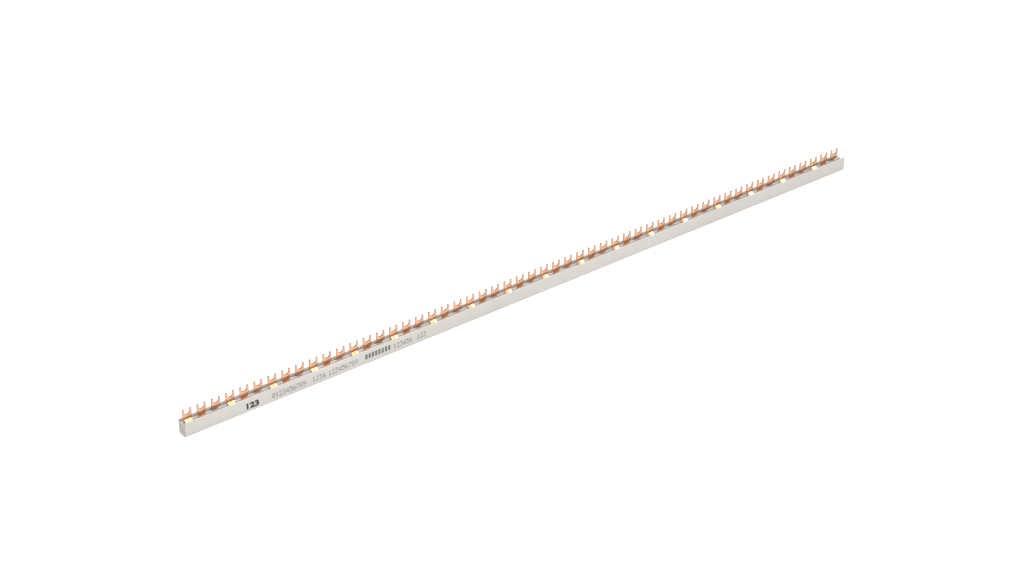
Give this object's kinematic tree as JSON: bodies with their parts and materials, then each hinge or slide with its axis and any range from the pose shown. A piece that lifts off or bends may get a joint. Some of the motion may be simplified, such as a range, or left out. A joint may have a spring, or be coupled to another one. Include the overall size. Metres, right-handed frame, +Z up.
{
  "type": "comb busbar",
  "caption": "Three-phase comb busbar: three cranked copper fork combs in one insulating profile, closed by an end cap at each end.",
  "frame": {"origin": "middle of the base, on the surface that the profile stands on", "axes": "+X along the row of forks, from the first fork to the last; +Y from the front wall to the back wall; +Z up, the way the forks point"},
  "size_m": [0.9636, 0.0126, 0.0306],
  "materials": {
    "insulation": "extruded rigid PVC, light grey, satin",
    "cap": "moulded plastic, light grey, satin",
    "copper": "bright rolled copper with dull sheared edges"
  },
  "bodies": {
    "root": {"profile": "insulation", "rail_l1": "copper", "rail_l2": "copper", "rail_l3": "copper", "end_cap_left": "cap", "end_cap_right": "cap"}
  },
  "joints": []
}
